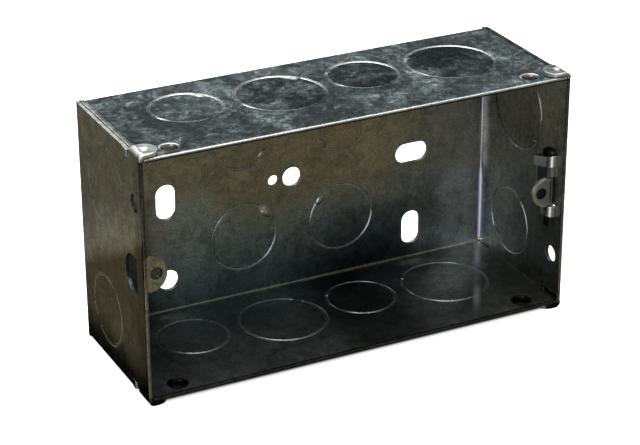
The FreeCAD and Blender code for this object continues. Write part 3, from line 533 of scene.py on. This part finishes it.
def lug_material():
    # the plated lug's finish, with light and shade painted into its colour
    m = bpy.data.materials.new("plated_lug_with_painted_light")
    m.use_nodes = True
    g = Graph(m.node_tree)
    out = g.node("ShaderNodeOutputMaterial")
    bsdf = g.node("ShaderNodeBsdfPrincipled")
    g.feed(out.inputs[0], bsdf.outputs[0])
    bsdf.inputs["Metallic"].default_value = 1.0
    coord = g.node("ShaderNodeTexCoord")
    P = g.scale(coord.outputs["Object"], 1000.0)
    x, y, z = g.split(P)
    geo = g.node("ShaderNodeNewGeometry")
    cloud = g.noise(P, 0.30, 4.0, 0.6, 0.8)
    speck = g.noise(P, 2.6, 2.0, 0.6)
    lines = g.noise(g.join(x * 4.0, y * 4.0, z * 0.3), 1.0, 3.0, 0.6)
    fac = ((cloud - 0.5) * 1.2 + (speck - 0.5) * 0.7 + (lines - 0.5) * 0.5 + 0.5).lin(0.0, 1.0)
    round_edge = g.node("ShaderNodeBevel", samples=6)
    round_edge.inputs["Radius"].default_value = 0.00025
    dot = g.node("ShaderNodeVectorMath", operation="DOT_PRODUCT")
    g.feed(dot.inputs[0], round_edge.outputs[0])
    g.feed(dot.inputs[1], geo.outputs["Normal"])
    arris = Val(g, dot.outputs["Value"]).ramp(0.985, 0.86)
    # painted shade: the plate behind the loops is darkened, most at its two ends and in the crease at the tab's
    # fold; painted highlights on the turned edge and the tab, lighter towards its tip; painted shade in the bore
    tab = x.ramp(63.5, 63.1)
    ends = z.ramp(7.0, 8.6) + z.ramp(-8.6, -9.6)
    bore = radial(g, x, z, 60.3, -1.0)
    crease = x.ramp(63.2, 63.35) * x.ramp(63.75, 63.55) * y.ramp(-40.5, -41.0)
    turned = x.ramp(63.5, 63.8) * y.ramp(-40.2, -40.8)
    tone = (0.25 + turned * 0.85 + tab * 0.66 * x.ramp(63.4, 59.0, 0.60, 1.0)) * (1.0 - ends * 0.80) * (1.0 - crease * 0.9)
    tone = tone * bore.ramp(1.60, 1.90, 0.07, 1.0)
    colour = g.mix(fac, (0.40, 0.43, 0.47), (0.66, 0.70, 0.75))
    colour = g.scale(colour, tone)
    # painted highlight: a cream rim round the tab, kept off the bore, and a light line along the plate's rear edge
    rim = arris.most(radial(g, x, z, 62.1, -1.0).ramp(3.4, 4.2)) * tab + (1.0 - tab) * y.ramp(-35.2, -34.9) * z.ramp(-5.0, -4.5) * 0.9
    colour = g.mix((rim * bore.ramp(1.85, 2.1)).least(1.0) * 0.60, colour, (0.88, 0.85, 0.76))
    g.feed(bsdf.inputs["Base Color"], colour)
    # the specular tint follows the painted tone and the painted rim
    specular_tint_from_tone = tone.most(rim).least(1.0)
    g.feed(bsdf.inputs["Specular Tint"], g.join(specular_tint_from_tone, specular_tint_from_tone, specular_tint_from_tone))
    g.feed(bsdf.inputs["Roughness"], (0.38 + fac * 0.14 + (speck - 0.5) * 0.1).lin(0.0, 1.0))
    bump = g.node("ShaderNodeBump")
    bump.inputs["Strength"].default_value = 1.0
    bump.inputs["Distance"].default_value = 1.0
    g.feed(bump.inputs["Height"], (lines - 0.5) * 0.000006 + (speck - 0.5) * 0.000004)
    g.feed(bump.inputs["Normal"], round_edge.outputs[0])
    g.feed(bsdf.inputs["Normal"], bump.outputs[0])
    return m


def dress(obj, material):
    obj.data.materials.clear()
    obj.data.materials.append(material)


sheet = sheet_material()
plated = lug_material()
dress(shell, sheet)
dress(lug, plated)


# ------------------------------------------------------------ lug threads
def thread(name, centre, y0, y1, material, body):
    """The ridge of a 3.5 mm thread, wound on the wall of a lug's bore."""
    pitch, root, crest = 0.6, 1.47, 1.24
    around = 40
    turns = (y1 - y0 - 0.36) / pitch
    steps = int(turns * around)
    bm = bmesh.new()
    loops = []
    for i in range(steps + 1):
        a = 2 * math.pi * i / around
        mid = y0 + 0.18 + pitch * i / around
        grow = min(1.0, i / 8.0, (steps - i) / 8.0)
        top = root - (root - crest) * grow
        loop = []
        for r, dy in ((root, -0.17), (top, -0.04), (top, 0.04), (root, 0.17)):
            loop.append(
                bm.verts.new(
                    (
                        (centre[0] + r * math.cos(a)) * MM,
                        (mid + dy) * MM,
                        (centre[1] + r * math.sin(a)) * MM,
                    )
                )
            )
        loops.append(loop)
    for p, q in zip(loops, loops[1:]):
        for k in range(4):
            bm.faces.new((p[k], p[(k + 1) % 4], q[(k + 1) % 4], q[k]))
    bm.faces.new(loops[0][::-1])
    bm.faces.new(loops[-1])
    bmesh.ops.recalc_face_normals(bm, faces=bm.faces)
    mesh = bpy.data.meshes.new(name)
    bm.to_mesh(mesh)
    bm.free()
    obj = bpy.data.objects.new(name, mesh)
    scene.collection.objects.link(obj)
    mesh.materials.append(material)
    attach(obj, body)
    return obj


thread("fixed_lug_thread", (-60.3, 0.0), -42.0, -41.0, sheet, "shell")
thread("adjustable_lug_thread", (60.3, -1.0), -43.0, -41.8, plated, "lug")


# ------------------------------------------------------------------- stage
# The box stands on its two front tabs and the burrs of its back corners, so the floor leans a little.
FRONT_REST, BACK_REST = (-39.6, -37.35), (-2.85, -36.55)
slope = (BACK_REST[1] - FRONT_REST[1]) / (BACK_REST[0] - FRONT_REST[0])
bm = bmesh.new()
half = 3000.0
corners = []
for fx, fy in ((-half, -half), (half, -half), (half, half), (-half, half)):
    corners.append(bm.verts.new((fx * MM, fy * MM, (FRONT_REST[1] + slope * (fy - FRONT_REST[0]) - 0.01) * MM)))
bm.faces.new(corners)
mesh = bpy.data.meshes.new("floor")
bm.to_mesh(mesh)
bm.free()
floor = bpy.data.objects.new("floor", mesh)
scene.collection.objects.link(floor)
paint = bpy.data.materials.new("floor_paint")
paint.use_nodes = True
g = Graph(paint.node_tree)
fout = g.node("ShaderNodeOutputMaterial")
shade = g.node("ShaderNodeBsdfPrincipled")
g.feed(fout.inputs[0], shade.outputs[0])
fx, fy, fz = g.split(g.scale(g.node("ShaderNodeTexCoord").outputs["Object"], 1000.0))
# painted shadow: the floor is painted near black, without glow, under the box and in a strip beside its right wall
painted_shadow_under_box = fx.ramp(-64.0, -62.0) * fx.ramp(74.0, 71.0) * (fx - (fy + 47.0) * 0.42).ramp(67.0, 65.5) * fy.ramp(-46.0, -44.5) * fy.ramp(-1.0, -2.5)
g.feed(shade.inputs["Base Color"], g.mix(painted_shadow_under_box, (0.93, 0.93, 0.93), (0.02, 0.02, 0.02)))
shade.inputs["Roughness"].default_value = 1.0
shade.inputs["Specular IOR Level"].default_value = 0.0
shade.inputs["Emission Color"].default_value = (1.0, 1.0, 1.0, 1.0)
g.feed(shade.inputs["Emission Strength"], (1.0 - painted_shadow_under_box) * 0.75)
mesh.materials.append(paint)
floor.visible_glossy = False


# ------------------------------------------------------------------- light
def softbox(name, at, aim, wide, tall, radiance, tint=(1.0, 1.0, 1.0)):
    lamp = bpy.data.lights.new(name, "AREA")
    lamp.shape = "RECTANGLE"
    lamp.size, lamp.size_y = wide, tall
    lamp.energy = radiance * math.pi * wide * tall
    lamp.color = tint
    obj = bpy.data.objects.new(name, lamp)
    scene.collection.objects.link(obj)
    obj.location = at
    obj.rotation_euler = (Vector(aim) - Vector(at)).to_track_quat("-Z", "Y").to_euler()
    obj.visible_camera = False
    return obj


softbox("overhead", (-0.10, 0.05, 0.95), (0, 0, 0), 1.1, 1.1, 5.0, (1.0, 1.0, 0.98))

world = bpy.data.worlds.new("room")
scene.world = world
world.use_nodes = True
g = Graph(world.node_tree)
wout = g.node("ShaderNodeOutputWorld")
sky = g.node("ShaderNodeBackground")
white = g.node("ShaderNodeBackground")
white.inputs[0].default_value = (1.0, 1.0, 1.0, 1.0)
blend = g.node("ShaderNodeMixShader")
path = g.node("ShaderNodeLightPath")
g.feed(blend.inputs[0], path.outputs["Is Camera Ray"])
g.feed(blend.inputs[1], sky.outputs[0])
g.feed(blend.inputs[2], white.outputs[0])
g.feed(wout.inputs[0], blend.outputs[0])
ray = g.node("ShaderNodeTexCoord").outputs["Generated"]
dx, dy, dz = g.split(ray)

# a warm dark table below, a cool room above, a tall window at the front left
ahead = dy.ramp(0.35, -0.35)
sky_back, sky_front = (0.052, 0.062, 0.066), (0.150, 0.195, 0.200)
room = g.mix(dz.ramp(-0.10, 0.12), (0.170, 0.140, 0.088), g.mix(ahead, sky_back, sky_front))
azimuth = g.math("ARCTAN2", dx * -1.0, dy * -1.0)
off = (azimuth - math.radians(47.0)) / math.radians(7.5)
window = g.math("EXPONENT", off * off * -0.5) * dz.ramp(-0.80, -0.55) * dz.ramp(0.75, 0.45)
window = window * dz.ramp(-0.10, 0.20, 0.50, 1.15)
add = g.node("ShaderNodeVectorMath", operation="ADD")
g.feed(add.inputs[0], room)
g.feed(add.inputs[1], g.scale(g.join(0.82, 0.82, 1.00), window * 3.0))
g.feed(sky.inputs[0], add.outputs[0])
